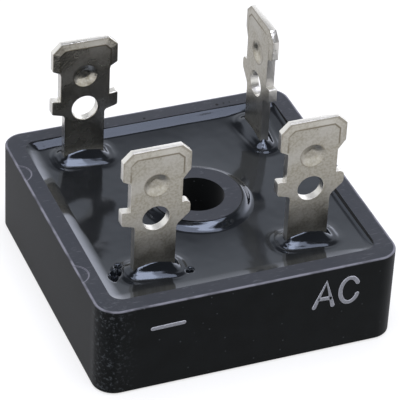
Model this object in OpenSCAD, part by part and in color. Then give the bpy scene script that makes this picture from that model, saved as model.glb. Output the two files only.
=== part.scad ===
// Square potted bridge rectifier with a screw hole and four 6.3 mm blade terminals.
// The origin is on the hole's axis, in the plane of the heat-sink face. Z points up, along the blades,
// and the minus terminal is at the front left. All sizes are in millimetres.

/* [Case] */
// Width and depth of the square case
case_w = 28.6; // [28.4:0.1:30]
// Height of the case's rim above the heat-sink face
case_h = 9.2; // [8.8:0.1:11]
// Thickness of the outer walls
wall_t = 1.7; // [1.5:0.1:1.8]
// Thickness of the moulded floor over the heat-sink plate
floor_t = 0.6; // [0.4:0.1:0.8]
// Radius of the case's upright corners
corner_r = 2; // [1.8:0.1:2.6]
// Radius of the pocket's upright corners
pocket_r = 1.2; // [0.8:0.1:1.6]
// Rounding of the outer edges of the moulding
edge_r = 0.15; // [0.1:0.05:0.3]

/* [Screw hole] */
// Diameter of the hole for an M5 screw
screw_hole_d = 5.2; // [5:0.1:5.6]
// Outer diameter of the boss around the hole
boss_d = 8.4; // [7.8:0.1:8.8]

/* [Heat-sink plate] */
// Width and depth of the plate in the underside
plate_w = 25; // [23:0.1:26]
// Thickness of the plate
plate_t = 1.6; // [1.2:0.1:1.8]
// Corner radius of the plate
plate_r = 1.5; // [1:0.1:3]
// Height of the case's underside above the plate's face
plate_proud = 0.1; // [0.05:0.05:0.2]
// Clearance round the plate
plate_gap = 0.05; // [0.02:0.01:0.1]

/* [Terminals] */
// Height of the blade tips above the heat-sink face
tip_z = 21.6; // [20.5:0.1:23]
// Thickness of the terminal strip
strip_t = 0.8; // [0.7:0.05:0.9]
// Width of the blade's head
head_w = 6.3; // [6.2:0.05:6.4]
// Width of the waist between the head and the lugs
waist_w = 4.8; // [4.4:0.1:5]
// Width over the two lugs
lug_w = 6.4; // [6.2:0.1:6.6]
// Width of the stem below the lugs
stem_w = 3.9; // [3.6:0.1:4.2]
// Diameter of the hole for a soldered wire
wire_hole_d = 2.5; // [2:0.1:2.8]
// Diameter of the latch dimple at the blade's face
dimple_d = 2.3; // [1.8:0.1:2.6]
// Depth of the latch dimple
dimple_depth = 0.25; // [0.1:0.05:0.3]
// Width of the coined bevel round the head
coin_w = 0.7; // [0.4:0.1:0.8]
// Depth of the coined bevel at the edge
coin_depth = 0.1; // [0.05:0.01:0.15]
// Inner radius of the fold between stem and foot
fold_r = 0.5; // [0.4:0.1:0.8]

/* [Terminal places] */
// Distance of the front blades from the hole's axis
front_row = 8.5; // [8.3:0.1:8.7]
// Distance of the back blade from the hole's axis
back_row = 9.6; // [9.4:0.1:9.7]
// Sideways distance of the minus blade
minus_x = 7.45; // [7.3:0.05:7.6]
// Sideways distance of the front AC blade
ac_front_x = 7.2; // [7.1:0.05:7.3]
// Sideways distance of the back AC blade
ac_back_x = 7.7; // [7.6:0.05:7.8]
// Sideways distance of the plus blade, which is turned by 90 degrees
plus_x = 9.3; // [9.1:0.1:9.5]
// Distance of the plus blade's centre behind the hole's axis
plus_y = 8.2; // [8.1:0.1:8.4]

/* [Diodes] */
// Width of a silicon die
die_w = 4.4; // [4:0.1:4.6]
// Thickness of a die
die_t = 0.3; // [0.2:0.05:0.4]
// Thickness of a solder layer
solder_t = 0.12; // [0.08:0.01:0.2]
// Distance of each die from the hole's axis
die_ring = 7.6; // [7.5:0.1:7.8]
// Thickness of the copper jumper clips
jumper_t = 0.5; // [0.3:0.1:0.6]

/* [Potting] */
// Depth of the potting's level below the rim
fill_drop = 0.65; // [0.5:0.05:1]
// Height to which the potting climbs the walls and the boss
climb = 0.5; // [0.3:0.05:0.5]
// Distance over which it climbs the walls
wall_creep = 1.3; // [1:0.1:1.3]
// Distance over which it climbs the boss
boss_creep = 1.2; // [0.8:0.1:1.4]
// Height to which it climbs the stems
stem_climb = 0.38; // [0.2:0.02:0.5]
// Distance over which it climbs the stems
stem_creep = 1; // [0.8:0.05:1.05]

/* [Hidden] */
$fn = 64;
slack = 0.01;

pocket_w = case_w - 2 * wall_t;
floor_z = plate_t + floor_t;
fill_z = case_h - fill_drop;
plate_hole_d = screw_hole_d + 0.4;

// Slope at which the menisci run out, how far their sections reach under the level,
// and the core radius of the collars round the stems
meniscus_a = 5;
meniscus_step = 0.1;
core_r = 0.2;

// Heights of the layers, from the lower feet to the upper straps
lower_foot_z = floor_z;
lower_solder_z = lower_foot_z + strip_t;
die_z = lower_solder_z + solder_t;
upper_solder_z = die_z + die_t;
upper_foot_z = upper_solder_z + solder_t;

// Distance from a blade's middle plane to the line where its foot starts
fold_reach = strip_t / 2 + fold_r;

// The blade's outline, measured down from its tip
tip_cut = 0.85;
head_z = tip_z - 2.85;
waist_z = tip_z - 3.3;
lug_top_z = tip_z - 5.95;
lug_bottom_z = tip_z - 7.5;
dimple_z = tip_z - 3.7;
wire_hole_z = tip_z - 7.2;

// Plan sizes of the lower feet: their arms, and the tongues that carry the jumpers
foot_limit = 11.2;
arm_in = 5;
arm_end = 2.8;
relief = 0.4;
tongue_in = 5.6;
tongue_out = 9.4;
tongue_end = 4;

// Plan sizes of the minus terminal's straps, with the corner between them and the shoulder to the blade
strap_w = 2.8;
strap_end = 1.8;
strap_corner = 4.4;
shoulder_in = 4.8;
shoulder_out = 5.4;

// Lengths of the jumpers: their ends, the crank between their two levels, and the pad of solder
jumper_end = 5.3;
crank_high = 2.7;
crank_low = 3.3;
crank_shift = 0.2;
pad_inset = 0.2;
jumper_pad_l = 1.1;

// Ejector pins that touched the left rim
pin_d = 2.6;
pin_depth = 0.05;
pin_out = 0.3;
pin_y = 8;

// Points of an arc about c, from angle a to angle b
function arc(c, r, a, b, steps = 6) =
    [for (i = [0:steps]) c + r * [cos(a + (b - a) * i / steps), sin(a + (b - a) * i / steps)]];

// Radius of a concave meniscus of height h and length l that runs out at a slope of meniscus_a
function meniscus_r(h, l) = (l * l + h * h) / (2 * (h * cos(meniscus_a) - l * sin(meniscus_a)));

// Right edge of the blade from its tip down, with the curved underside that the press tool leaves
function curved_side() = concat(
    [[head_w / 2 - tip_cut, tip_z], [head_w / 2, tip_z - tip_cut]],
    arc([head_w / 2 - 0.3, head_z + 0.3], 0.3, 0, -60),
    arc([waist_w / 2 + 0.3, waist_z - 0.3], 0.3, 120, 180),
    [[waist_w / 2, lug_top_z]],
    arc([lug_w / 2 - 0.5, lug_top_z - 0.5], 0.5, 90, 0),
    arc([lug_w / 2 - 0.6, lug_bottom_z + 0.6], 0.6, 0, -50),
    arc([stem_w / 2 + 0.9, lug_bottom_z - 1.2], 0.9, 125, 180));

// Left edge of the blade from its tip down, mirrored, with a square lug
function square_side() = concat(
    [[head_w / 2 - tip_cut, tip_z], [head_w / 2, tip_z - tip_cut]],
    arc([head_w / 2 - 0.2, head_z + 0.2], 0.2, 0, -60),
    [[waist_w / 2 + 0.05, waist_z + 0.2], [waist_w / 2, waist_z]],
    [[waist_w / 2, lug_top_z - 0.15]],
    arc([lug_w / 2 - 0.15, lug_top_z - 0.2], 0.15, 90, 0),
    arc([lug_w / 2 - 0.25, lug_bottom_z + 0.25], 0.25, 0, -80),
    [[stem_w / 2 + 0.15, lug_bottom_z - 0.25], [stem_w / 2, lug_bottom_z - 0.45]]);

function mirrored(points) = [for (i = [len(points) - 1:-1:0]) [-points[i][0], points[i][1]]];

module rounded_square(w, r) {
    square([w - 2 * r, w], center = true);
    square([w, w - 2 * r], center = true);
    for (x = [-1, 1], y = [-1, 1])
        translate([x * (w / 2 - r), y * (w / 2 - r)]) circle(r);
}

// Section of the case's outside from its middle to an edge w away, with rounded edges
module edge_section(w) {
    translate([0, plate_proud]) square([w - edge_r, case_h - plate_proud]);
    translate([0, plate_proud + edge_r]) square([w, case_h - plate_proud - 2 * edge_r]);
    translate([w - edge_r, plate_proud + edge_r]) circle(edge_r);
    translate([w - edge_r, case_h - edge_r]) circle(edge_r);
}

module side_slab() {
    rotate([90, 0, 0])
        linear_extrude(case_w - 2 * corner_r, center = true) {
            edge_section(case_w / 2);
            mirror([1, 0]) edge_section(case_w / 2);
        }
}

module case_block() {
    side_slab();
    rotate([0, 0, 90]) side_slab();
    for (x = [-1, 1], y = [-1, 1])
        translate([x * (case_w / 2 - corner_r), y * (case_w / 2 - corner_r), 0])
            rotate_extrude() edge_section(corner_r);
}

module case() {
    color("#33373b")
        difference() {
            case_block();
            difference() {
                translate([0, 0, floor_z])
                    linear_extrude(case_h) rounded_square(pocket_w, pocket_r);
                cylinder(d = boss_d, h = case_h);
            }
            translate([0, 0, -slack]) cylinder(d = screw_hole_d, h = case_h + 1);
            translate([0, 0, -slack])
                linear_extrude(plate_t + slack)
                    rounded_square(plate_w + 2 * plate_gap, plate_r + plate_gap);
            for (y = [-pin_y, pin_y])
                translate([-case_w / 2 - pin_out, y, case_h - pin_depth])
                    cylinder(d = pin_d, h = 1);
        }
}

module base_plate() {
    color("#b9bdc0")
        linear_extrude(plate_t)
            difference() {
                rounded_square(plate_w, plate_r);
                circle(d = plate_hole_d);
            }
}

// Section of a meniscus that climbs to height h over a length l, on a step below the level
module meniscus_section(h, l) {
    r = meniscus_r(h, l);
    difference() {
        translate([0, -meniscus_step]) square([l, h + meniscus_step]);
        translate([l + r * sin(meniscus_a), r * cos(meniscus_a)]) circle(r, $fn = 180);
    }
}

module wall_menisci() {
    for (turn = [0:90:270])
        rotate([0, 0, turn])
            translate([-pocket_w / 2, 0, fill_z])
                rotate([90, 0, 0])
                    linear_extrude(pocket_w, center = true) {
                        meniscus_section(climb, wall_creep);
                        translate([-meniscus_step, -meniscus_step])
                            square([meniscus_step, climb + meniscus_step]);
                    }
}

module boss_meniscus() {
    translate([0, 0, fill_z])
        rotate_extrude()
            translate([boss_d / 2, 0]) meniscus_section(climb, boss_creep);
}

// Collar that climbs a stem, with quarter rings at the strip's corners
module stem_meniscus() {
    half = [stem_w / 2 - core_r, strip_t / 2 - core_r];
    quarters = [[1, 1], [-1, 1], [-1, -1], [1, -1]];
    translate([0, 0, fill_z]) {
        translate([-half[0], -half[1], -meniscus_step])
            cube([2 * half[0], 2 * half[1], stem_climb + meniscus_step]);
        for (i = [0:3])
            translate([quarters[i][0] * half[0], quarters[i][1] * half[1], 0])
                rotate([0, 0, 90 * i])
                    rotate_extrude(angle = 90) collar_section();
        for (turn = [0, 180])
            rotate([0, 0, turn]) {
                rotate([90, 0, 0])
                    linear_extrude(2 * half[1], center = true)
                        translate([half[0], 0]) collar_section();
                rotate([90, 0, 90])
                    linear_extrude(2 * half[0], center = true)
                        translate([half[1], 0]) collar_section();
            }
    }
}

module collar_section() {
    translate([0, -meniscus_step]) square([core_r, stem_climb + meniscus_step]);
    translate([core_r, 0]) meniscus_section(stem_climb, stem_creep);
}

module at_minus() translate([-minus_x, -front_row, 0]) children();
module at_ac_front() translate([ac_front_x, -front_row, 0]) children();
module at_ac_back() translate([-ac_back_x, back_row, 0]) children();
module at_plus() translate([plus_x, plus_y, 0]) rotate([0, 0, 90]) children();

module potting() {
    color("#3a4048")
        difference() {
            union() {
                translate([0, 0, floor_z])
                    linear_extrude(fill_z - floor_z) rounded_square(pocket_w, pocket_r);
                intersection() {
                    linear_extrude(case_h) rounded_square(pocket_w, pocket_r);
                    wall_menisci();
                }
                boss_meniscus();
                at_minus() stem_meniscus();
                at_ac_front() stem_meniscus();
                at_ac_back() stem_meniscus();
                at_plus() stem_meniscus();
            }
            cylinder(d = boss_d, h = case_h + 1);
            minus_terminal();
            ac_front_terminal();
            ac_back_terminal();
            plus_terminal();
            for (turn = [0:90:270]) diode_stack(turn);
            back_jumper();
            right_jumper();
            back_jumper_solder();
            right_jumper_solder();
        }
}

// Wedges that coin the head's edges on the face at -Y
module coining() {
    face = -strip_t / 2;
    rise = coin_depth / coin_w;
    side_low = waist_z - 0.5;
    side_high = tip_z + 0.5;
    wedge = [[face, -coin_w], [face + coin_depth + rise, 1], [face - 1, 1], [face - 1, -coin_w]];
    translate([0, 0, tip_z]) edge_wedge(wedge, head_w + 2);
    for (way = [-1, 1]) {
        translate([way * (head_w - tip_cut) / 2, 0, tip_z - tip_cut / 2])
            rotate([0, way * 45, 0]) edge_wedge(wedge, 4);
        translate([way * head_w / 2, 0, (side_low + side_high) / 2])
            rotate([0, way * 90, 0]) edge_wedge(wedge, side_high - side_low);
    }
}

// Wedge along X whose section lies in Y and Z
module edge_wedge(section, length) {
    rotate([90, 0, 90]) linear_extrude(length, center = true) polygon(section);
}

// A blade and its stem down to stem_z, centred on the strip, with its front face at -Y
module blade(stem_z, curved_lug) {
    dimple_r = (dimple_d * dimple_d / 4 + dimple_depth * dimple_depth) / (2 * dimple_depth);
    right = curved_lug ? curved_side() : square_side();
    difference() {
        rotate([90, 0, 0])
            linear_extrude(strip_t, center = true)
                difference() {
                    polygon(concat(right, [[stem_w / 2, stem_z], [-stem_w / 2, stem_z]],
                        mirrored(square_side())));
                    translate([0, wire_hole_z]) circle(d = wire_hole_d);
                }
        for (turn = [0, 180])
            rotate([0, 0, turn]) {
                coining();
                translate([0, -strip_t / 2 - dimple_r + dimple_depth, dimple_z]) sphere(dimple_r, $fn = 96);
            }
    }
}

// Quarter fold from the stem to a foot that leaves towards +Y or, with way = -1, towards -Y
module fold(foot_z, way) {
    rotate([0, 0, way > 0 ? 180 : 0])
        translate([0, -strip_t / 2 - fold_r, foot_z + strip_t + fold_r])
            rotate([0, 90, 0])
                rotate_extrude(angle = 90)
                    translate([fold_r, -stem_w / 2]) square([strip_t, stem_w]);
}

module folded_blade(foot_z, way, curved_lug = true) {
    blade(foot_z + strip_t + fold_r, curved_lug);
    fold(foot_z, way);
}

module foot(z, outline) translate([0, 0, z]) linear_extrude(strip_t) polygon(outline);

module minus_terminal() {
    line = -front_row + fold_reach;
    left = -minus_x - stem_w / 2;
    right = -minus_x + stem_w / 2 + relief;
    inner = die_ring - strap_w / 2;
    outer = die_ring + strap_w / 2;
    color("#b8b3a4") {
        at_minus() folded_blade(upper_foot_z, 1);
        foot(upper_foot_z, [[left, line], [right, line], [right, -outer], [strap_end, -outer],
            [strap_end, -inner], [-strap_corner, -inner], [-inner, -strap_corner], [-inner, strap_end],
            [-outer, strap_end], [-outer, -shoulder_in], [left, -shoulder_out]]);
    }
}

module ac_front_terminal() {
    line = -front_row + fold_reach;
    left = ac_front_x - stem_w / 2 - relief;
    color("#b8b3a4") {
        at_ac_front() folded_blade(lower_foot_z, 1);
        foot(lower_foot_z, [[-arm_end, -foot_limit], [left, -foot_limit], [left, line], [foot_limit, line],
            [foot_limit, -arm_in], [tongue_out, -arm_in], [tongue_out, -tongue_end],
            [tongue_in, -tongue_end], [tongue_in, -arm_in], [-arm_end, -arm_in]]);
    }
}

module ac_back_terminal() {
    line = back_row - fold_reach;
    right = -ac_back_x + stem_w / 2 + relief;
    color("#aaa699") {
        at_ac_back() folded_blade(lower_foot_z, -1, false);
        foot(lower_foot_z, [[-foot_limit, line], [-foot_limit, -arm_end], [-arm_in, -arm_end],
            [-arm_in, tongue_in], [-tongue_end, tongue_in], [-tongue_end, tongue_out],
            [right, tongue_out], [right, line]]);
    }
}

module plus_terminal() {
    line = plus_x - fold_reach;
    front = plus_y - stem_w / 2 - relief;
    color("#b8b3a4") {
        at_plus() folded_blade(lower_foot_z, 1);
        foot(lower_foot_z, [[-arm_end, arm_in], [arm_in, arm_in], [arm_in, -arm_end], [foot_limit, -arm_end],
            [foot_limit, front], [line, front], [line, foot_limit], [-arm_end, foot_limit]]);
    }
}

// Turns a piece of a diode from the right-hand side of the case to its own side
module at_side(turn) rotate([0, 0, turn]) translate([die_ring, 0, 0]) children();

module die(turn) {
    color("#6f7480")
        at_side(turn) translate([-die_w / 2, -die_w / 2, die_z]) cube([die_w, die_w, die_t]);
}

module lower_solder(turn) {
    color("#9a9c9e")
        at_side(turn) translate([-die_w / 2, -die_w / 2, lower_solder_z]) cube([die_w, die_w, solder_t]);
}

module upper_solder(turn) {
    pad_w = strap_w - 2 * pad_inset;
    pad_l = 2 * (strap_end - pad_inset);
    color("#9a9c9e")
        at_side(turn) translate([-pad_w / 2, -pad_l / 2, upper_solder_z]) cube([pad_w, pad_l, solder_t]);
}

module diode_stack(turn) {
    lower_solder(turn);
    die(turn);
    upper_solder(turn);
}

// Cranked clip from the top of a die, along X, down to the tongue of an AC terminal's foot
module jumper() {
    color("#b87a4b")
        rotate([90, 0, 0])
            linear_extrude(strap_w, center = true)
                polygon([[strap_end, upper_foot_z], [strap_end, upper_foot_z + jumper_t],
                    [-crank_high, upper_foot_z + jumper_t], [-crank_low, die_z + jumper_t],
                    [-jumper_end, die_z + jumper_t], [-jumper_end, die_z],
                    [-crank_low - crank_shift, die_z], [-crank_high - crank_shift, upper_foot_z]]);
}

module jumper_solder() {
    color("#9a9c9e")
        translate([-jumper_end + pad_inset / 2, -strap_w / 2 + pad_inset, lower_solder_z])
            cube([jumper_pad_l, strap_w - 2 * pad_inset, solder_t]);
}

module at_back_jumper() translate([0, die_ring, 0]) children();
module at_right_jumper() translate([die_ring, 0, 0]) rotate([0, 0, 90]) children();

module back_jumper() at_back_jumper() jumper();
module right_jumper() at_right_jumper() jumper();
module back_jumper_solder() at_back_jumper() jumper_solder();
module right_jumper_solder() at_right_jumper() jumper_solder();

case();
base_plate();
potting();
minus_terminal();
ac_front_terminal();
ac_back_terminal();
plus_terminal();
die(180);  // die_left
die(270);  // die_front
die(90);  // die_back
die(0);  // die_right
lower_solder(180);  // lower_solder_left
lower_solder(270);  // lower_solder_front
lower_solder(90);  // lower_solder_back
lower_solder(0);  // lower_solder_right
upper_solder(180);  // upper_solder_left
upper_solder(270);  // upper_solder_front
upper_solder(90);  // upper_solder_back
upper_solder(0);  // upper_solder_right
back_jumper();
right_jumper();
back_jumper_solder();
right_jumper_solder();
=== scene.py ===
import math
import bpy
from mathutils import Matrix, Vector, noise


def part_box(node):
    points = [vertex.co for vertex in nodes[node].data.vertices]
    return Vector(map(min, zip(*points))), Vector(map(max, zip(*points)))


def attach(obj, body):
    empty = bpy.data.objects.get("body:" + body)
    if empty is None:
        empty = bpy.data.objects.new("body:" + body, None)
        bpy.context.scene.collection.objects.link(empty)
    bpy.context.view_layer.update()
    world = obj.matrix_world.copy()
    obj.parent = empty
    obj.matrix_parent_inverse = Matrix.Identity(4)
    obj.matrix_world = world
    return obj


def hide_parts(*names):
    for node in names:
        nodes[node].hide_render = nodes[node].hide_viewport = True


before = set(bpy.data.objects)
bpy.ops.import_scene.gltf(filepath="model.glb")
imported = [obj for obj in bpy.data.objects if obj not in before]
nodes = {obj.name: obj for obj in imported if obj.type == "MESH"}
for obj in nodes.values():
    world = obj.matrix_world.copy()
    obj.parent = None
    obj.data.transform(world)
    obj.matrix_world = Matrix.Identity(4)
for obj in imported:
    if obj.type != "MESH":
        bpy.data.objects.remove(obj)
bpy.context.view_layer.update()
mm = 0.001
print("frame loaded:", len(nodes), "nodes")


def newNode(tree, kind, inputs=None, **settings):
    made = tree.nodes.new(kind)
    for name, value in settings.items():
        setattr(made, name, value)
    for name, value in (inputs or {}).items():
        if isinstance(value, bpy.types.NodeSocket):
            tree.links.new(value, made.inputs[name])
        else:
            made.inputs[name].default_value = value
    return made


def calculate(tree, operation, first, second=None):
    inputs = {0: first} if second is None else {0: first, 1: second}
    return newNode(tree, "ShaderNodeMath", inputs, operation=operation).outputs[0]


def times(tree, first, second):
    return calculate(tree, "MULTIPLY", first, second)


def larger(tree, first, second):
    return calculate(tree, "MAXIMUM", first, second)


def apart(tree, value, other):  # how far one value is from another
    return calculate(tree, "ABSOLUTE", calculate(tree, "SUBTRACT", value, other))


def ramp(tree, value, low, high, lowOut=0.0, highOut=1.0):  # smooth step between two values
    inputs = {0: value, 1: low, 2: high, 3: lowOut, 4: highOut}
    return newNode(tree, "ShaderNodeMapRange", inputs, interpolation_type="SMOOTHSTEP").outputs[0]


def mixColour(tree, factor, first, second):
    inputs = {0: factor, 6: first, 7: second}
    return newNode(tree, "ShaderNodeMix", inputs, data_type="RGBA").outputs[2]


def parts(tree, vector):
    return newNode(tree, "ShaderNodeSeparateXYZ", {0: vector}).outputs


def noiseOf(tree, point, scale, detail=3.0, rough=0.5):
    inputs = {"Vector": point, "Scale": scale, "Detail": detail, "Roughness": rough}
    return newNode(tree, "ShaderNodeTexNoise", inputs).outputs[0]


def shift(tree, point, place=(0, 0, 0), turn=0.0, size=(1, 1, 1)):
    inputs = {"Vector": point, "Location": place, "Rotation": (0, 0, turn), "Scale": size}
    return newNode(tree, "ShaderNodeMapping", inputs).outputs[0]


def lengthOf(tree, vector):
    return newNode(tree, "ShaderNodeVectorMath", {0: vector}, operation="LENGTH").outputs["Value"]


def fromAxis(tree, point, x, y):  # metres from an upright axis at x and y, given in millimetres
    return lengthOf(tree, shift(tree, point, (-x * mm, -y * mm, 0), size=(1, 1, 0)))


def metres(base, offsets):  # places this far from a base, all given in millimetres
    return [(base + offset) * mm for offset in offsets]


def grey(value):
    return (value, value, value, 1)


def newGroup(name, inputs, outputs):
    group = bpy.data.node_groups.new(name, "ShaderNodeTree")
    for label, kind, value in inputs:
        socket = group.interface.new_socket(label, in_out="INPUT", socket_type="NodeSocket" + kind)
        if value is not None:
            socket.default_value = value
    for label, kind in outputs:
        group.interface.new_socket(label, in_out="OUTPUT", socket_type="NodeSocket" + kind)
    return group, newNode(group, "NodeGroupInput").outputs, newNode(group, "NodeGroupOutput").inputs


def placeGroup(tree, name, point, **values):
    made = newNode(tree, "ShaderNodeGroup", node_tree=bpy.data.node_groups[name])
    tree.links.new(point, made.inputs["Point"])
    for label, value in values.items():
        made.inputs[label].default_value = value
    return made.outputs


def newMaterial(name, **sockets):
    material = bpy.data.materials.new(name)
    material.use_nodes = True
    tree = material.node_tree
    shader = tree.nodes["Principled BSDF"]
    for label, value in sockets.items():
        shader.inputs[label.replace("_", " ")].default_value = value
    return material, tree, shader


def objectPoint(tree):
    return newNode(tree, "ShaderNodeTexCoord").outputs["Object"]


def surfaceNormal(tree):
    return newNode(tree, "ShaderNodeNewGeometry").outputs["Normal"]


def addBump(tree, shader, height, distance, strength=1.0):
    inputs = {"Height": height, "Distance": distance * mm, "Strength": strength}
    bump = newNode(tree, "ShaderNodeBump", inputs)
    tree.links.new(bump.outputs[0], shader.inputs["Normal"])


def setMaterial(piece, material):
    piece.data.materials.clear()
    piece.data.materials.append(material)


def standFor(piece, node):
    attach(piece, "root")
    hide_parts(node)


camera = {
    "place": (-76.44, -180.82, 150.82),  # millimetres
    "aim": (0.995, 1.412, 7.327),
    "roll": 3.034,  # degrees
    "lens": 237.7,
    "sensor": 36,
    "clip": (0.01, 10),  # metres
}


def makeCamera(values):
    data = bpy.data.cameras.new("camera")
    data.lens = values["lens"]
    data.sensor_width = values["sensor"]
    data.clip_start, data.clip_end = values["clip"]
    shown = bpy.data.objects.new("camera", data)
    bpy.context.scene.collection.objects.link(shown)
    place = Vector(values["place"]) * mm
    turn = (Vector(values["aim"]) * mm - place).to_track_quat("-Z", "Y")
    roll = Matrix.Rotation(math.radians(values["roll"]), 4, "Z")
    shown.matrix_world = Matrix.Translation(place) @ turn.to_matrix().to_4x4() @ roll
    bpy.context.scene.camera = shown


makeCamera(camera)
print("camera made")

studio = {
    "floorSize": 4,  # metres
    "floorRoughness": 0.9,
    "floorShade": 0.34,
    "floorGlow": 0.68,  # what the camera sees on top of the shade
    "floorGloss": (0.3, 0.8),  # what gloss sees on top of the shade, near and far
    "glossReach": (0.03, 0.22),  # metres from the middle to those two
    "underPart": (0.012, 0.015),  # metres, where gloss starts to see any of it
    "fill": 0.5,  # what the world adds to every side
    "backdrop": (0.98, 1.0, 1.04, 1),  # what gloss sees round the object
    "room": 0.12,  # the darker room over the backdrop
    "behind": (-0.2, 0.3),  # where front turns to back, as the direction's share along y
    "topBehind": (33, 48),  # degrees over the horizon where the backdrop fades out
    "topInFront": (20, 36),
    "sideGlow": (2.4, 2.45, 2.7, 1),  # a bright low panel behind on the right
    "sideFrom": (0.15, 0.6),  # its edge, as the direction's share along x
    "sideTop": (10, 30),
    "softboxColour": (0.86, 0.88, 1.0),
    "softboxes": [(0.0, 0.02, 0.42, 0.34, 3.2), (0.0, -0.11, 0.41, 0.2, 5.0)],  # place, width and radiance
}


def shownTo(tree, cameraShare, glossShare):  # a share for the camera, and one for gloss and glass
    path = newNode(tree, "ShaderNodeLightPath").outputs
    gloss = larger(tree, path["Is Glossy Ray"], path["Is Transmission Ray"])
    seen = times(tree, path["Is Camera Ray"], cameraShare)
    return calculate(tree, "ADD", seen, times(tree, gloss, glossShare))


def upShare(angle):  # the share along z of a direction this many degrees over the horizon
    return math.sin(math.radians(angle))


def makeWorld(values):
    world = bpy.data.worlds.new("studio")
    bpy.context.scene.world = world
    world.use_nodes = True
    tree = world.node_tree
    direction = parts(tree, newNode(tree, "ShaderNodeTexCoord").outputs["Generated"])
    behind = ramp(tree, direction[1], *values["behind"])
    edges = []
    for front, back in zip(values["topInFront"], values["topBehind"]):
        edges.append(ramp(tree, behind, 0.0, 1.0, upShare(front), upShare(back)))
    under = ramp(tree, direction[2], edges[0], edges[1], 1.0, 0.0)
    gloss = mixColour(tree, under, grey(values["room"]), values["backdrop"])
    low, high = (upShare(angle) for angle in values["sideTop"])
    side = times(tree, ramp(tree, direction[0], *values["sideFrom"]),
                 ramp(tree, direction[2], low, high, 1.0, 0.0))
    gloss = mixColour(tree, times(tree, side, behind), gloss, values["sideGlow"])
    path = newNode(tree, "ShaderNodeLightPath").outputs
    shown = mixColour(tree, path["Is Camera Ray"], gloss, grey(1))
    colour = mixColour(tree, shownTo(tree, 1.0, 1.0), grey(values["fill"]), shown)
    tree.links.new(colour, tree.nodes["Background"].inputs["Color"])


def makeFloor(values):
    bpy.ops.object.select_all(action="DESELECT")
    bpy.ops.mesh.primitive_plane_add(size=values["floorSize"])
    floor = bpy.context.object
    floor.name = "floor"
    material, tree, shader = newMaterial("paleFloor", Roughness=values["floorRoughness"],
                                         Specular_IOR_Level=0.0, Base_Color=grey(values["floorShade"]),
                                         Emission_Color=grey(1))
    away = lengthOf(tree, objectPoint(tree))
    gloss = times(tree, ramp(tree, away, *values["underPart"]),
                  ramp(tree, away, *values["glossReach"], *values["floorGloss"]))
    glow = shownTo(tree, values["floorGlow"], gloss)
    tree.links.new(glow, shader.inputs["Emission Strength"])
    setMaterial(floor, material)


def makeSoftboxes(values):
    for x, y, z, width, radiance in values["softboxes"]:
        data = bpy.data.lights.new("softbox", "AREA")
        data.size = width
        data.energy = radiance * math.pi * width ** 2
        data.color = values["softboxColour"]
        lamp = bpy.data.objects.new("softbox", data)
        bpy.context.scene.collection.objects.link(lamp)
        lamp.location = (x, y, z)


makeWorld(studio)
makeFloor(studio)
makeSoftboxes(studio)
bpy.context.scene.view_settings.view_transform = "Standard"
print("studio made")


effects = {
    "grainDetail": 4.0,
    "cloudScale": 420.0,  # per metre, as all scales of noise are
    "speckSize": 0.5,  # the smallest speck's share of the radius, and the largest has 1 more
    "speckBlur": 0.6,  # where a speck starts to fade, as a share of its radius
    "scuffTurns": (0.4, 1.7, 2.6),  # radians
    "scuffScale": (900, 5200, 900),
    "scuffDetail": 2.0,
    "scuffEdge": (0.66, 0.74),  # the noise that shows as a scratch
}


def grainGroup(values):  # fine even grain, and slower clouds
    group, into, out = newGroup("grain", [("Point", "Vector", None), ("Size", "Float", 0.1)],
                                [("Grain", "Float"), ("Cloud", "Float")])
    scale = calculate(group, "DIVIDE", 1 / mm, into["Size"])
    group.links.new(noiseOf(group, into["Point"], scale, values["grainDetail"]), out["Grain"])
    group.links.new(noiseOf(group, into["Point"], values["cloudScale"]), out["Cloud"])


def speckGroup(values):  # scattered small spots: 1 in a spot, 0 outside
    group, into, out = newGroup("specks", [("Point", "Vector", None), ("Spacing", "Float", 1.0),
                                           ("Radius", "Float", 0.1), ("Share", "Float", 0.5)],
                                [("Specks", "Float")])
    scale = calculate(group, "DIVIDE", 1 / mm, into["Spacing"])
    cell = newNode(group, "ShaderNodeTexVoronoi", {"Vector": into["Point"], "Scale": scale})
    reach = calculate(group, "DIVIDE", into["Radius"], into["Spacing"])
    chance = parts(group, cell.outputs["Color"])
    size = times(group, reach, calculate(group, "ADD", chance[1], values["speckSize"]))
    full = times(group, size, values["speckBlur"])
    inputs = {0: cell.outputs["Distance"], 1: full, 2: size, 3: 1.0, 4: 0.0}
    spot = newNode(group, "ShaderNodeMapRange", inputs).outputs[0]
    kept = calculate(group, "LESS_THAN", chance[0], into["Share"])
    group.links.new(times(group, spot, kept), out["Specks"])


def scuffGroup(values):  # short fine scratches that run many ways
    group, into, out = newGroup("scuffs", [("Point", "Vector", None), ("Amount", "Float", 0.5)],
                                [("Scuffs", "Float")])
    total = 0.0
    for turn in values["scuffTurns"]:
        stretched = shift(group, into["Point"], turn=turn, size=values["scuffScale"])
        line = noiseOf(group, stretched, 1.0, values["scuffDetail"])
        total = larger(group, total, ramp(group, line, *values["scuffEdge"]))
    group.links.new(times(group, total, into["Amount"]), out["Scuffs"])


grainGroup(effects)
speckGroup(effects)
scuffGroup(effects)
print("shared effects made")

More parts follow.
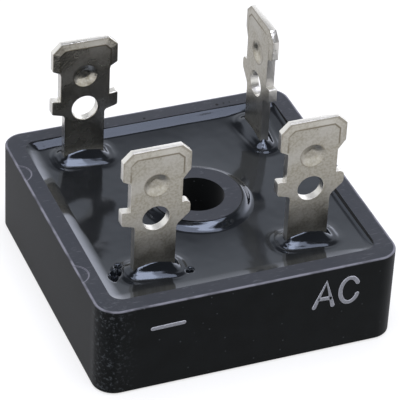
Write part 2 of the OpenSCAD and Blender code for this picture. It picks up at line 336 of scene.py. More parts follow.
moulding = {
    "colour": (0.0015, 0.0025, 0.0025, 1),
    "cloudColour": (0.007, 0.009, 0.01, 1),
    "clouds": (0.35, 0.65, 0.0, 0.35),  # cloud noise from and to, and the share of the colour there
    "rimColour": (0.043, 0.046, 0.054, 1),
    "rimCloudColour": (0.035, 0.039, 0.048, 1),
    "rimClouds": (0.3, 0.7, 0.0, 0.6),
    "scuffColour": (0.15, 0.155, 0.175, 1),
    "scuffs": {"Amount": 0.3},
    # pale lines: the rings the ejector pins leave, and a painted highlight on the rim's rounded outer edge
    "pinRingAndEdgeHighlightColour": (0.2, 0.2, 0.23, 1),
    "speckColour": (0.09, 0.1, 0.11, 1),
    "specks": {"Spacing": 0.7, "Radius": 0.08, "Share": 0.5},
    "speckTop": 9,
    "speckShown": (0.5, 0.7),  # share at the foot and at the top
    "roughness": 0.5,
    "gloss": 0.06,
    "dust": 0.12,
    "grain": {"Size": 0.12},
    "grainDepth": 0.2,
    "bump": 0.06,
    "half": 14.3,
    "corner": 2.0,
    "rimHeight": 9.2,
    "rimFacing": (0.6, 0.95),  # how far a face looks up to count as the rim
    "rimBlend": (-0.3, -0.2),
    "highlightIn": (-0.27, -0.15),  # painted highlight along the rim's rounded outer edge
    "highlightUp": (-0.14, -0.04),
    "highlightClouds": (0.35, 0.55, 0.35, 1.0),
    "pinMarks": ((-14.6, -8.0), (-14.6, 8.0)),  # rings that the ejector pins leave on the rim
    "pinRadius": 1.3,
    "pinLine": (0.03, 0.1),
    "pinShown": 0.8,
    "pits": (  # x, y and radius
        (-0.3, 13.0, 0.16),
        (7.2, 13.1, 0.2),
        (7.9, 13.15, 0.13),
        (8.5, 13.15, 0.12),
    ),
    # painted shade for the pits, which have no hollow in the mesh
    "pitShadeColour": (0.004, 0.004, 0.005, 1),
    "pitBlur": 0.6,
    "lumpyX": (-14, -10.4),  # the coarse stretch at the front left corner
    "lumpyY": (-13, -11.5),
    "lumpScale": 2600.0,
    "lumpDetail": 3.0,
    "lumpRoughness": 0.7,
    "sparkColour": (0.09, 0.1, 0.11, 1),
    "sparkEdge": (0.52, 0.72),
}


def makeMoulding(values):
    material, tree, shader = newMaterial("moulding", Roughness=values["roughness"],
                                         Sheen_Weight=values["dust"], Specular_IOR_Level=values["gloss"])
    point = objectPoint(tree)
    across, along, height = parts(tree, point)
    upward = parts(tree, surfaceNormal(tree))[2]
    grain = placeGroup(tree, "grain", point, **values["grain"])
    scuffs = placeGroup(tree, "scuffs", point, **values["scuffs"])[0]
    specks = placeGroup(tree, "specks", point, **values["specks"])[0]
    rim = times(tree, ramp(tree, upward, *values["rimFacing"]),
                ramp(tree, height, *metres(values["rimHeight"], values["rimBlend"])))
    over = []
    for place in (across, along):
        beyond = calculate(tree, "SUBTRACT", calculate(tree, "ABSOLUTE", place),
                           (values["half"] - values["corner"]) * mm)
        over.append(larger(tree, beyond, 0.0))
    reach = lengthOf(tree, newNode(tree, "ShaderNodeCombineXYZ", {0: over[0], 1: over[1]}).outputs[0])
    # a painted highlight along the rim's rounded outer edge, just under its top
    outline = times(tree, ramp(tree, reach, *metres(values["corner"], values["highlightIn"])),
                    ramp(tree, height, *metres(values["rimHeight"], values["highlightUp"])))
    outline = times(tree, outline, ramp(tree, grain["Cloud"], *values["highlightClouds"]))
    base = mixColour(tree, ramp(tree, grain["Cloud"], *values["clouds"]),
                     values["colour"], values["cloudColour"])
    rimShade = mixColour(tree, ramp(tree, grain["Cloud"], *values["rimClouds"]),
                         values["rimColour"], values["rimCloudColour"])
    rimShade = mixColour(tree, scuffs, rimShade, values["scuffColour"])
    colour = mixColour(tree, rim, base, rimShade)
    shown = ramp(tree, height, 0.0, values["speckTop"] * mm, *values["speckShown"])
    colour = mixColour(tree, times(tree, specks, shown), colour, values["speckColour"])
    for x, y in values["pinMarks"]:
        off = apart(tree, fromAxis(tree, point, x, y), values["pinRadius"] * mm)
        line = ramp(tree, off, *metres(0, values["pinLine"]), values["pinShown"], 0.0)
        colour = mixColour(tree, times(tree, line, rim), colour, values["pinRingAndEdgeHighlightColour"])
    # each pit is painted dark as its shade
    for x, y, radius in values["pits"]:
        edge = radius * mm
        pit = ramp(tree, fromAxis(tree, point, x, y), values["pitBlur"] * edge, edge, 1.0, 0.0)
        colour = mixColour(tree, times(tree, pit, rim), colour, values["pitShadeColour"])
    colour = mixColour(tree, outline, colour, values["pinRingAndEdgeHighlightColour"])
    lumps = noiseOf(tree, point, values["lumpScale"], values["lumpDetail"], values["lumpRoughness"])
    nearCorner = times(tree, ramp(tree, across, *metres(0, values["lumpyX"]), 1.0, 0.0),
                       ramp(tree, along, *metres(0, values["lumpyY"]), 1.0, 0.0))
    sparkle = times(tree, nearCorner, ramp(tree, lumps, *values["sparkEdge"]))
    colour = mixColour(tree, sparkle, colour, values["sparkColour"])
    tree.links.new(colour, shader.inputs["Base Color"])
    heights = calculate(tree, "ADD", times(tree, grain["Grain"], values["grainDepth"]),
                        times(tree, nearCorner, lumps))
    addBump(tree, shader, heights, values["bump"])
    return material


tin = {
    "colour": (0.5, 0.475, 0.41, 1),
    "grainColour": (0.37, 0.34, 0.27, 1),
    "grainShown": (0.4, 0.62, 0.0, 0.75),  # noise from and to, and the share of the colour there
    "cloudColour": (0.6, 0.58, 0.53, 1),
    "cloudShown": (0.45, 0.7, 0.0, 0.6),
    "edgeHighlightColour": (0.8, 0.78, 0.73, 1),  # painted highlight on the strip's edge faces, and faintly on the coined border
    # painted shade for the dark lines at the coined fold, inside the outer edge and round the dimple
    "shadeLineColour": (0.2, 0.17, 0.12, 1),
    "speckColour": (0.2, 0.17, 0.13, 1),
    "specks": {"Spacing": 1.5, "Radius": 0.1, "Share": 0.4},
    "speckShown": 0.7,
    "grain": {"Size": 0.22},
    "bump": 0.03,
    "bumpStrength": 0.7,
    "roughClouds": (0.3, 0.7),
    "roughSpread": 0.05,
    "flatFacing": (0.75, 0.92),  # how far a face looks through the strip to count as flat
    "headHalf": 3.15,
    "tip": 21.6,
    "headEnd": 18.5,
    "headBlend": (0.1, 0.3),
    "coin": 0.7,
    "coinBlend": (0.0, 0.08),
    "coinShown": 0.12,
    "tipCut": 0.85,
    "tipInset": 0.29,  # of the coin's width, where the coined border turns at a cut corner
    "edgeLine": (-0.18, -0.1),  # painted shade line inside the outer edge
    "edgeShown": 0.45,
    "crease": (0.03, 0.12),  # painted shade line along the coined border's fold
    "creaseShown": 0.85,
    "creaseClouds": (0.3, 0.55, 0.3, 1.0),
    "dimple": 17.9,
    "dimpleRim": 1.18,
    # painted shade line round the dimple's rim
    "dimpleLine": (0.02, 0.1),
    "dimpleShown": 0.5,
    "places": {
        "minus_terminal": (-7.45, -8.5, 0, 0.36),  # x and y in millimetres, quarter turns and roughness
        "ac_front_terminal": (7.2, -8.5, 0, 0.36),
        "ac_back_terminal": (-7.7, 9.6, 0, 0.26),
        "plus_terminal": (9.3, 8.2, 1, 0.32),
    },
}


def coinedBorder(tree, across, height, values):  # how far into the head's coined border, in metres
    side = calculate(tree, "SUBTRACT", calculate(tree, "ABSOLUTE", across),
                     (values["headHalf"] - values["coin"]) * mm)
    top = calculate(tree, "SUBTRACT", height, (values["tip"] - values["coin"]) * mm)
    corner = times(tree, calculate(tree, "ADD", side, top), math.sqrt(0.5))
    cut = values["tipCut"] * math.sqrt(0.5) * mm - values["tipInset"] * values["coin"] * mm
    return larger(tree, larger(tree, side, top), calculate(tree, "ADD", corner, cut))


def makeTin(name, place, values):
    x, y, turns, roughness = place
    material, tree, shader = newMaterial(name, Metallic=1.0)
    moved = shift(tree, objectPoint(tree), (-x * mm, -y * mm, 0))
    centred = shift(tree, moved, turn=-turns * math.pi / 2)
    own = parts(tree, centred)
    across, height = own[0], own[2]
    facing = parts(tree, surfaceNormal(tree))[0 if turns else 1]
    flat = ramp(tree, calculate(tree, "ABSOLUTE", facing), *values["flatFacing"])
    grain = placeGroup(tree, "grain", centred, **values["grain"])
    specks = placeGroup(tree, "specks", centred, **values["specks"])[0]
    inBorder = coinedBorder(tree, across, height, values)
    flatHead = times(tree, ramp(tree, height, *metres(values["headEnd"], values["headBlend"])), flat)
    edgeLine = ramp(tree, inBorder, *metres(values["coin"], values["edgeLine"]), 0.0, values["edgeShown"])
    crease = ramp(tree, calculate(tree, "ABSOLUTE", inBorder), *metres(0, values["crease"]),
                  values["creaseShown"], 0.0)
    fromDimple = lengthOf(tree, shift(tree, centred, (0, 0, -values["dimple"] * mm), size=(1, 0, 1)))
    ring = ramp(tree, apart(tree, fromDimple, values["dimpleRim"] * mm), *metres(0, values["dimpleLine"]),
                values["dimpleShown"], 0.0)
    # painted shade lines: along the fold, inside the outer edge and round the dimple's rim
    shadeLines = larger(tree, times(tree, larger(tree, crease, edgeLine), flatHead), ring)
    shadeLines = times(tree, shadeLines, ramp(tree, grain["Cloud"], *values["creaseClouds"]))
    border = times(tree, ramp(tree, inBorder, *metres(0, values["coinBlend"])), flatHead)
    shade = mixColour(tree, ramp(tree, grain["Grain"], *values["grainShown"]),
                      values["colour"], values["grainColour"])
    shade = mixColour(tree, ramp(tree, grain["Cloud"], *values["cloudShown"]), shade, values["cloudColour"])
    # the coined border is lifted a little towards the painted highlight
    shade = mixColour(tree, times(tree, border, values["coinShown"]), shade, values["edgeHighlightColour"])
    shade = mixColour(tree, shadeLines, shade, values["shadeLineColour"])
    # the strip's edge faces all take the painted highlight
    shade = mixColour(tree, flat, values["edgeHighlightColour"], shade)
    shade = mixColour(tree, times(tree, specks, values["speckShown"]), shade, values["speckColour"])
    tree.links.new(shade, shader.inputs["Base Color"])
    spread = values["roughSpread"]
    rough = ramp(tree, grain["Cloud"], *values["roughClouds"], roughness - spread, roughness + spread)
    tree.links.new(rough, shader.inputs["Roughness"])
    addBump(tree, shader, grain["Grain"], values["bump"], values["bumpStrength"])
    return material


castResin = {
    "colour": (0.0055, 0.0065, 0.008, 1),
    "cloudColour": (0.009, 0.01, 0.012, 1),
    "cloudScale": 260.0,
    "clouds": (0.35, 0.65),
    "darkColour": (0.003, 0.003, 0.003, 1),
    "darkSpecks": {"Spacing": 4.1, "Radius": 0.14, "Share": 0.3},
    "darkShift": (0.003, 0.007, 0),  # metres, so that dark and pale specks lie apart
    "paleColour": (0.3, 0.32, 0.35, 1),
    "paleSpecks": {"Spacing": 2.6, "Radius": 0.09, "Share": 0.3},
    "paleShown": 0.6,
    "refraction": 1.6,
    "glossTint": (0.76, 0.85, 1.0, 1),
    "roughness": (0.1, 0.4),  # clear, and on a speck
}


def makeResin(values):
    material, tree, shader = newMaterial("resin", IOR=values["refraction"],
                                         Specular_Tint=values["glossTint"])
    point = objectPoint(tree)
    pale = placeGroup(tree, "specks", point, **values["paleSpecks"])[0]
    dark = placeGroup(tree, "specks", shift(tree, point, values["darkShift"]), **values["darkSpecks"])[0]
    cloud = ramp(tree, noiseOf(tree, point, values["cloudScale"]), *values["clouds"])
    colour = mixColour(tree, cloud, values["colour"], values["cloudColour"])
    colour = mixColour(tree, dark, colour, values["darkColour"])
    colour = mixColour(tree, times(tree, pale, values["paleShown"]), colour, values["paleColour"])
    tree.links.new(colour, shader.inputs["Base Color"])
    rough = ramp(tree, larger(tree, pale, dark), 0.0, 1.0, *values["roughness"])
    tree.links.new(rough, shader.inputs["Roughness"])
    return material


plain = {
    "silicon": ((0.32, 0.34, 0.38, 1), 0.6, 0.3),  # colour, metallic share and roughness
    "solder": ((0.55, 0.56, 0.57, 1), 1.0, 0.4),
    "copper": ((0.72, 0.42, 0.28, 1), 1.0, 0.35),
    "grain": {"Size": 0.15},
    "darker": 0.8,
    "roughGrain": (0.3, 0.7),
    "roughSpread": 0.06,
    "bump": 0.005,
    "bumpStrength": 0.5,
}


def makePlain(name, values):
    colour, metallic, roughness = values[name]
    material, tree, shader = newMaterial(name, Metallic=metallic)
    grain = placeGroup(tree, "grain", objectPoint(tree), **values["grain"])
    darker = tuple(values["darker"] * part for part in colour[:3]) + (1,)
    tree.links.new(mixColour(tree, grain["Cloud"], darker, colour), shader.inputs["Base Color"])
    spread = values["roughSpread"]
    rough = ramp(tree, grain["Grain"], *values["roughGrain"], roughness - spread, roughness + spread)
    tree.links.new(rough, shader.inputs["Roughness"])
    addBump(tree, shader, grain["Grain"], values["bump"], values["bumpStrength"])
    return material


rolledSheet = {
    "lineScale": (150, 9000, 150),  # fine lines along x
    "lineDetail": 3.0,
    "darkColour": (0.62, 0.63, 0.64, 1),
    "paleColour": (0.76, 0.77, 0.78, 1),
    "scuffColour": (0.85, 0.86, 0.87, 1),
    "scuffs": {"Amount": 0.6},
    "roughness": (0.3, 0.7, 0.28, 0.42),  # noise from and to, and the roughness there
    "bump": 0.004,
    "bumpStrength": 0.5,
}


def makePlate(values):
    material, tree, shader = newMaterial("aluminium", Metallic=1.0)
    point = objectPoint(tree)
    lines = noiseOf(tree, shift(tree, point, size=values["lineScale"]), 1.0, values["lineDetail"])
    scuffs = placeGroup(tree, "scuffs", point, **values["scuffs"])[0]
    colour = mixColour(tree, lines, values["darkColour"], values["paleColour"])
    colour = mixColour(tree, scuffs, colour, values["scuffColour"])
    tree.links.new(colour, shader.inputs["Base Color"])
    tree.links.new(ramp(tree, lines, *values["roughness"]), shader.inputs["Roughness"])
    addBump(tree, shader, lines, values["bump"], values["bumpStrength"])
    return material


finishes = {
    "case": makeMoulding(moulding),
    "potting": makeResin(castResin),
    "plate": makePlate(rolledSheet),
    "die": makePlain("silicon", plain),
    "solder": makePlain("solder", plain),
    "jumper": makePlain("copper", plain),
}
for name, place in tin["places"].items():
    finishes[name] = makeTin(name.replace("terminal", "tin"), place, tin)


smoothing = {
    "weld": 0.002,
    "angle": 30,  # degrees, the least fold that stays crisp
}


def smoothNode(piece, values):  # a node keeps its own mesh: the modifiers join and smooth it
    piece.data.polygons.foreach_set("use_smooth", [True] * len(piece.data.polygons))
    weld = piece.modifiers.new("weld", "WELD")
    weld.merge_threshold = values["weld"] * mm
    split = piece.modifiers.new("edges", "EDGE_SPLIT")
    split.split_angle = math.radians(values["angle"])


for name, piece in nodes.items():
    kind = "solder" if "solder" in name else next(k for k in finishes if k in name)
    setMaterial(piece, finishes[kind])
    smoothNode(piece, smoothing)
print("finishes placed")

blade = {
    "weld": 0.002,
    "flatAngle": 0.5,  # degrees, the most that faces of one plane may differ by
    "edgeRound": 0.07,  # millimetres that the punch rounds each edge
    "roundSteps": 2,
    "roundAngle": 30,
    "coinAngle": 4,  # degrees, the least fold of the flat faces that stays crisp
    "curveAngle": 20,
    "flatShare": 0.985,  # how far a face looks through the strip to count as flat
    "half": 0.4,
    "dimpleHeight": 17.9,
    "dimpleRadius": 1.15,
    "dimpleLip": (-0.1, 0.8),  # how far in from the dimple's edge its soft lip starts and ends
    "dimpleDepth": 0.33,
    "dimpleRings": 9,
    "dimpleFloor": 0.1,  # share of the half thickness that the drawn dimple's faces all lie beyond
    "dimpleFacing": 0.5,
    "faceSlack": 0.002,  # millimetres that a place may be off and still be found
    "edgeSlack": 0.005,
    "radiusSlack": 0.03,
    "dishSlack": 0.02,
}


def smoothStep(value, low, high):
    share = min(max((value - low) / (high - low), 0), 1)
    return share * share * (3 - 2 * share)


def apply(piece, modifier):
    bpy.context.view_layer.objects.active = piece
    bpy.ops.object.modifier_apply(modifier=modifier.name)


def makeDish(piece, centre, outward, values):  # a deeper, rounder latch dimple in one face
    mesh = piece.data
    radius, depth, half = (values[key] * mm for key in ("dimpleRadius", "dimpleDepth", "half"))
    lipStart, lipEnd = metres(0, values["dimpleLip"])
    for polygon in mesh.polygons:
        away = polygon.center - centre
        deep = away.dot(outward)
        inside = (away - deep * outward).length < radius
        sunk = values["dimpleFloor"] * half < deep < half - values["faceSlack"] * mm
        polygon.select = inside and sunk and polygon.normal.dot(outward) > values["dimpleFacing"]
    bpy.context.tool_settings.mesh_select_mode = (False, False, True)
    bpy.ops.object.mode_set(mode="EDIT")
    bpy.ops.mesh.delete(type="FACE")
    bpy.ops.object.mode_set(mode="OBJECT")
    for vertex in mesh.vertices:
        away = vertex.co - centre
        deep = away.dot(outward)
        onFace = abs(deep - half) < values["edgeSlack"] * mm
        onEdge = abs((away - deep * outward).length - radius) < values["radiusSlack"] * mm
        vertex.select = onFace and onEdge
    bpy.context.tool_settings.mesh_select_mode = (True, False, False)
    bpy.ops.object.mode_set(mode="EDIT")
    last = (radius, 0.0)
    for ring in range(1, values["dimpleRings"] + 1):
        reach = radius * (1 - ring / (values["dimpleRings"] + 0.5))  # the middle keeps half a step
        now = (reach, depth * smoothStep(radius - reach, lipStart, lipEnd))
        bpy.ops.mesh.extrude_edges_move()
        bpy.ops.transform.resize(value=(now[0] / last[0],) * 3,
                                 center_override=centre + outward * (half - last[1]))
        bpy.ops.transform.translate(value=outward * (last[1] - now[1]))
        last = now
    bpy.ops.mesh.merge(type="CENTER")
    bpy.ops.object.mode_set(mode="OBJECT")


def makeBlade(name, place, values):  # the formed strip, with crisp coined folds and rounded cut edges
    piece = bpy.data.objects.new(name + "_formed", nodes[name].data.copy())
    bpy.context.scene.collection.objects.link(piece)
    bpy.ops.object.select_all(action="DESELECT")
    piece.select_set(True)
    bpy.context.view_layer.objects.active = piece
    bpy.ops.mesh.customdata_custom_splitnormals_clear()
    bpy.ops.object.mode_set(mode="EDIT")
    bpy.ops.mesh.select_all(action="SELECT")
    bpy.ops.mesh.remove_doubles(threshold=values["weld"] * mm)
    bpy.ops.mesh.dissolve_limited(angle_limit=math.radians(values["flatAngle"]))
    bpy.ops.object.mode_set(mode="OBJECT")
    rounding = piece.modifiers.new("rounding", "BEVEL")
    rounding.width = values["edgeRound"] * mm
    rounding.segments = values["roundSteps"]
    rounding.limit_method = "ANGLE"
    rounding.angle_limit = math.radians(values["roundAngle"])
    apply(piece, rounding)
    thickness = Vector((1, 0, 0)) if place[2] else Vector((0, 1, 0))
    centre = Vector((place[0], place[1], values["dimpleHeight"])) * mm
    for side in (-1, 1):
        makeDish(piece, centre, side * thickness, values)
    bpy.ops.object.mode_set(mode="EDIT")
    bpy.ops.mesh.select_all(action="SELECT")
    bpy.ops.mesh.normals_make_consistent(inside=False)
    bpy.ops.object.mode_set(mode="OBJECT")
    bpy.ops.object.shade_smooth()
    mesh = piece.data
    sides = {}
    for polygon in mesh.polygons:
        for key in polygon.edge_keys:
            sides.setdefault(key, []).append(polygon.normal)
    for edge in mesh.edges:
        first, second = sides[tuple(sorted(edge.vertices))][:2]
        turned = math.degrees(first.angle(second, 0))
        away = (mesh.vertices[edge.vertices[0]].co + mesh.vertices[edge.vertices[1]].co) / 2 - centre
        dish = (values["dimpleRadius"] - values["dishSlack"]) * mm
        inDish = (away - thickness * away.dot(thickness)).length < dish
        flat = max(abs(first.dot(thickness)), abs(second.dot(thickness))) > values["flatShare"]
        edge.use_edge_sharp = not inDish and turned > values["coinAngle" if flat else "curveAngle"]
    setMaterial(piece, finishes[name])
    standFor(piece, name)
    print(name, "formed:", len(mesh.polygons), "faces")


for name, place in tin["places"].items():
    makeBlade(name, place, blade)

resin = {
    "spokes": 640,
    "rings": 140,
    "crowding": 0.8,  # how far the rings draw together at the boss and the walls
    "weld": 0.001,
    "crispAngle": 60,
    "bossRadius": 4.2,
    "cornerRadius": 1.2,
    "rim": 9.2,
    "level": 8.4,
    "rimBlend": 0.2,  # how far under the rim the rising resin starts to bend level
    # at the left, right, front and back wall: height and reach, then height, reach and power
    "dishes": [(0.22, 1.9), (0.06, 2.5), (0.28, 2.6), (0.4, 4.6)],
    "walls": [(0.34, 1.2, 1.4), (0.2, 0.45, 2.0), (0.16, 1.5, 1.3), (0.46, 1.15, 1.55)],
    "wallBlend": 0.6,  # how far one wall's shape runs into the next
    "bossDish": (0.2, 1.9),
    "boss": (0.44, 1.1, 1.15),
    "bossSteep": (2.3, 0.3, 1.0, 0.9),  # turn in radians, cosine from and to, and added power
    "bossRipple": (2.0, 6.0, 0.1, 0.3),  # waves, their seed, and how they change climb and power
    "bossSwirl": (0.012, 9, 5),  # height, and waves outward and round
    "swirlStart": (0.0, 0.3),
    "swirlEnd": (1.0, 0.5),
    "flush": (0.2, -0.2, 0.7),  # level with the boss on its right: turn, and cosine from and to
    "flushReach": 0.9,
    "flushProud": 0.004,
    "stem": (1.95, 0.4),  # half sizes of a blade's stem
    "stemRound": (0.4, 0.1),  # drawn in by these along x and y, then let out by the second
    "bladeDish": (0.42, 2.1, 2.0),
    "bladeFoot": (0.58, 1.5, 2.2),
    "footShare": (0.3, 0.85, 1.75),  # least share of the foot, what its middle adds, and how wide
    "footWave": (0.15, 2.2),  # share, and size of the waves
    "footReach": 3,
    "swell": (0.03, 0.7, 0.2),  # height, length and slant of the ring round each foot
    "swellStart": (0.35, 0.7),
    "swellEnd": (1.7, 1.2),
    "pits": [(-11.15, -8.7, 0.52), (-10.75, -8.1, 0.5), (-10.2, -7.3, 0.42), (-4.3, -9.6, 0.4)],
    "pitDepth": 0.8,
    "pitEdge": (1.0, 0.5),
    "pitWave": (0.5, 0.7, 4.0),  # height, size and seed, as for the waves below
    "slowWave": (0.012, 3.0, 0.0),
    "fineWave": (0.003, 0.9, 1.0),
    "lumpWave": (0.03, 0.6, 2.0),
    "lumpyLeft": (4.5, 6.0),  # the lumpy stretch along the back wall, left of the middle
    "lumpyBack": (10.5, 11.5),
    "lumpyWall": (1.3, 0.6),
}


def pocketReach(angle, half, corner):  # distance from the middle to the pocket's wall
    across, along = abs(math.cos(angle)), abs(math.sin(angle))
    reach = half / max(across, along)
    inner = half - corner
    if min(across, along) * reach > inner:
        middle = inner * (across + along)
        reach = middle + math.sqrt(max(middle * middle - 2 * inner * inner + corner * corner, 0))
    return reach


def wave(x, y, size, seed):
    return noise.noise(Vector((x / size, y / size, seed)))


def waves(x, y, values):
    height, size, seed = values
    return height * wave(x, y, size, seed)


def fillet(away, climb, reach, power):
    return climb * max(1 - max(away, 0) / reach, 0) ** power


def fade(away, height, reach):
    return height * math.exp(-max(away, 0) / reach)


def wallRise(x, y, toWall, values, half):  # each wall draws the resin up in its own way
    gaps = (half + x, half - x, half + y, half - y)
    near = [fade(gap, 1, values["wallBlend"]) for gap in gaps]
    wall = []
    for measures in zip(*values["walls"]):
        wall.append(sum(share * measure for share, measure in zip(near, measures)) / sum(near))
    return sum(fade(gap, *dish) for gap, dish in zip(gaps, values["dishes"])) + fillet(toWall, *wall)


def bossRise(toBoss, angle, values):  # steepest at the front left
    climb, reach, power = values["boss"]
    turn, low, high, steeper = values["bossSteep"]
    steep = steeper * smoothStep(math.cos(angle + turn), low, high)
    count, seed, climbShare, powerShare = values["bossRipple"]
    ripple = wave(math.cos(angle) * count, math.sin(angle) * count, 1.0, seed)
    rise = fade(toBoss, *values["bossDish"])
    rise += fillet(toBoss, climb * (1 + climbShare * ripple), reach, power + steep + powerShare * ripple)
    height, outward, around = values["bossSwirl"]
    shown = smoothStep(toBoss, *values["swirlEnd"]) * smoothStep(toBoss, *values["swirlStart"])
    return rise + height * math.sin(outward * toBoss + around * angle) * shown


def bladeRise(x, y, place, values):  # a dish and a steeper foot round one stem, with a faint ring
    bladeX, bladeY, turns = place[:3]
    halfX, halfY = values["stem"][::-1] if turns else values["stem"]
    roundX, roundY = values["stemRound"]
    away = math.hypot(max(abs(x - bladeX) - halfX + roundX, 0), max(abs(y - bladeY) - halfY + roundY, 0))
    away -= roundY
    if away >= values["footReach"]:
        return 0
    slant = (y - bladeY) if turns else (x - bladeX)
    least, added, width = values["footShare"]
    middle = least + added * math.exp(-(slant / width) ** 2)
    share, size = values["footWave"]
    uneven = away * (1 + share * wave(x, y, size, bladeX))
    height, length, lean = values["swell"]
    swell = height * smoothStep(away, *values["swellStart"]) * smoothStep(away, *values["swellEnd"])
    return (fillet(uneven, *values["bladeDish"]) + middle * fillet(uneven, *values["bladeFoot"])
            + swell * math.sin(2 * math.pi * (away / length - lean * slant)))


def resinHeight(x, y, values, half):
    inner = half - values["cornerRadius"]
    overX, overY = abs(x) - inner, abs(y) - inner
    toWall = values["cornerRadius"] - math.hypot(max(overX, 0), max(overY, 0)) - min(max(overX, overY), 0)
    toBoss = math.hypot(x, y) - values["bossRadius"]
    angle = math.atan2(y, x)
    height = wallRise(x, y, toWall, values, half) + bossRise(toBoss, angle, values)
    blend = values["rimBlend"]
    bend = values["rim"] - values["level"] - blend
    if height > bend:
        height = bend + blend * math.tanh((height - bend) / blend)
    height += sum(bladeRise(x, y, place, values) for place in tin["places"].values())
    inPit = min(math.hypot(x - pitX, y - pitY) / size for pitX, pitY, size in values["pits"])
    height -= values["pitDepth"] * smoothStep(inPit + waves(x, y, values["pitWave"]), *values["pitEdge"])
    lumpy = smoothStep(-x, *values["lumpyLeft"]) * smoothStep(y, *values["lumpyBack"])
    lumpy *= smoothStep(toWall, *values["lumpyWall"])
    height += waves(x, y, values["slowWave"]) + waves(x, y, values["fineWave"])
    height += lumpy * waves(x, y, values["lumpWave"])
    level = values["level"] + height
    turn, low, high = values["flush"]
    flush = smoothStep(math.cos(angle + turn), low, high) * smoothStep(toBoss, values["flushReach"], 0.0)
    return level + flush * (values["rim"] + values["flushProud"] - level)


def makePotting(values):
    low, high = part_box("potting")
    half = high.x / mm
    bpy.ops.object.select_all(action="DESELECT")
    bpy.ops.mesh.primitive_grid_add(x_subdivisions=values["spokes"], y_subdivisions=values["rings"], size=2)
    piece = bpy.context.object
    piece.name = "potting_surface"
    for vertex in piece.data.vertices:
        angle = (vertex.co.x + 1) * math.pi
        step = (vertex.co.y + 1) / 2
        step -= values["crowding"] * math.sin(2 * math.pi * step) / (2 * math.pi)
        furthest = pocketReach(angle, half, values["cornerRadius"])
        reach = values["bossRadius"] + step * (furthest - values["bossRadius"])
        x, y = reach * math.cos(angle), reach * math.sin(angle)
        vertex.co = Vector((x, y, resinHeight(x, y, values, half))) * mm
    bpy.ops.object.mode_set(mode="EDIT")
    bpy.ops.mesh.select_all(action="SELECT")
    bpy.ops.mesh.remove_doubles(threshold=values["weld"] * mm)
    bpy.ops.mesh.select_all(action="DESELECT")
    bpy.ops.mesh.select_non_manifold(extend=False)
    bpy.ops.mesh.extrude_edges_move()
    bpy.ops.object.mode_set(mode="OBJECT")
    for vertex in piece.data.vertices:
        if vertex.select:
            vertex.co.z = low.z
    bpy.ops.object.mode_set(mode="EDIT")
    bpy.ops.mesh.bridge_edge_loops()
    bpy.ops.mesh.select_all(action="SELECT")
    bpy.ops.mesh.normals_make_consistent(inside=False)
    bpy.ops.object.mode_set(mode="OBJECT")
    bpy.ops.object.shade_smooth_by_angle(angle=math.radians(values["crispAngle"]))
    setMaterial(piece, finishes["potting"])
    standFor(piece, "potting")


makePotting(resin)
print("potting made")

marks = {
    "width": 0.4,
    "edgeSteps": 4,
    "endAngles": (1.45, 1.2, 0.8, 0.4),  # radians, from a stroke's tip back to its full width
    "flatten": 0.35,  # what is left of the strokes' depth before they are trimmed to size
    "proud": 0.02,
    "face": -14.3,
    "strokes": [
        [(-9.47, 6.65), (-6.58, 6.7)],
        [(5.91, 5.19), (6.97, 7.87), (7.72, 5.09)],
        [(6.43, 6.03), (7.41, 5.96)],
    ],
    "ring": (9.27, 6.43, 0.88, 1.36, 31, 335),  # middle, half axes, first and last angle of the C
    "ringSteps": 28,
    "colour": (0.4, 0.41, 0.45, 1),
    "outline": (0.8, 0.81, 0.88, 1),
    "outlineFacing": (0.93, 0.99),
    "wornColour": (0.1, 0.1, 0.12, 1),
    "worn": (0.4, 0.7, 0.0, 0.4),  # grain from and to, and the share of the colour there
    "roughness": 0.55,
    "gloss": 0.2,
    "grain": {"Size": 0.1},
    "bump": 0.01,
}


def roundedEnds(stroke, values):  # the stroke's points, with a round cap at each end
    points = [Vector(point) for point in stroke]
    radius = values["width"] / 2
    caps = []
    for end, other in ((points[0], points[1]), (points[-1], points[-2])):
        outward = (end - other).normalized()
        caps.append([(*(end + outward * radius * math.sin(a)), math.cos(a)) for a in values["endAngles"]])
    return caps[0] + [(*point, 1.0) for point in points] + caps[1][::-1]


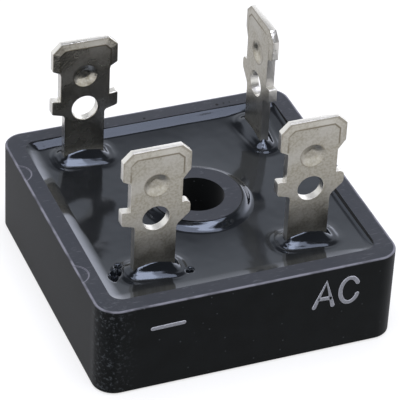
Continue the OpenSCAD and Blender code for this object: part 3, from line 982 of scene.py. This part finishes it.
def makeStroke(stroke, name, values):
    curve = bpy.data.curves.new("mark", "CURVE")
    curve.dimensions = "3D"
    curve.bevel_depth = values["width"] / 2 * mm
    curve.bevel_resolution = values["edgeSteps"]
    curve.use_fill_caps = True
    line = curve.splines.new("POLY")
    points = roundedEnds(stroke, values)
    line.points.add(len(points) - 1)
    for target, (x, z, radius) in zip(line.points, points):
        target.co = (x * mm, 0, z * mm, 1)
        target.radius = radius
    piece = bpy.data.objects.new(name, curve)
    bpy.context.scene.collection.objects.link(piece)
    return piece


def makeMarkFinish(values):
    material, tree, shader = newMaterial("engraved", Roughness=values["roughness"],
                                         Specular_IOR_Level=values["gloss"])
    facing = calculate(tree, "ABSOLUTE", parts(tree, surfaceNormal(tree))[1])
    grain = placeGroup(tree, "grain", objectPoint(tree), **values["grain"])
    colour = mixColour(tree, ramp(tree, facing, *values["outlineFacing"]),
                       values["outline"], values["colour"])
    colour = mixColour(tree, ramp(tree, grain["Grain"], *values["worn"]), colour, values["wornColour"])
    tree.links.new(colour, shader.inputs["Base Color"])
    addBump(tree, shader, grain["Grain"], values["bump"])
    return material


def makeMarks(values):  # the minus bar and the letters AC, a little proud of the front face
    midX, midZ, halfX, halfZ, first, last = values["ring"]
    steps = values["ringSteps"]
    turn = [math.radians(first + (last - first) * step / steps) for step in range(steps + 1)]
    strokes = values["strokes"] + [[(midX + halfX * math.cos(a), midZ + halfZ * math.sin(a)) for a in turn]]
    made = [makeStroke(stroke, "mark_%d" % index, values) for index, stroke in enumerate(strokes)]
    bpy.ops.object.select_all(action="DESELECT")
    for piece in made:
        piece.select_set(True)
    bpy.context.view_layer.objects.active = made[0]
    bpy.ops.object.convert(target="MESH")
    bpy.ops.object.join()
    piece = bpy.context.object
    piece.name = "polarity_marks"
    proud = values["proud"] * mm
    for vertex in piece.data.vertices:
        vertex.co.y = values["face"] * mm + max(min(values["flatten"] * vertex.co.y, proud), -proud)
    bpy.ops.object.shade_smooth()
    setMaterial(piece, makeMarkFinish(values))
    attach(piece, "root")


makeMarks(marks)
print("marks made")
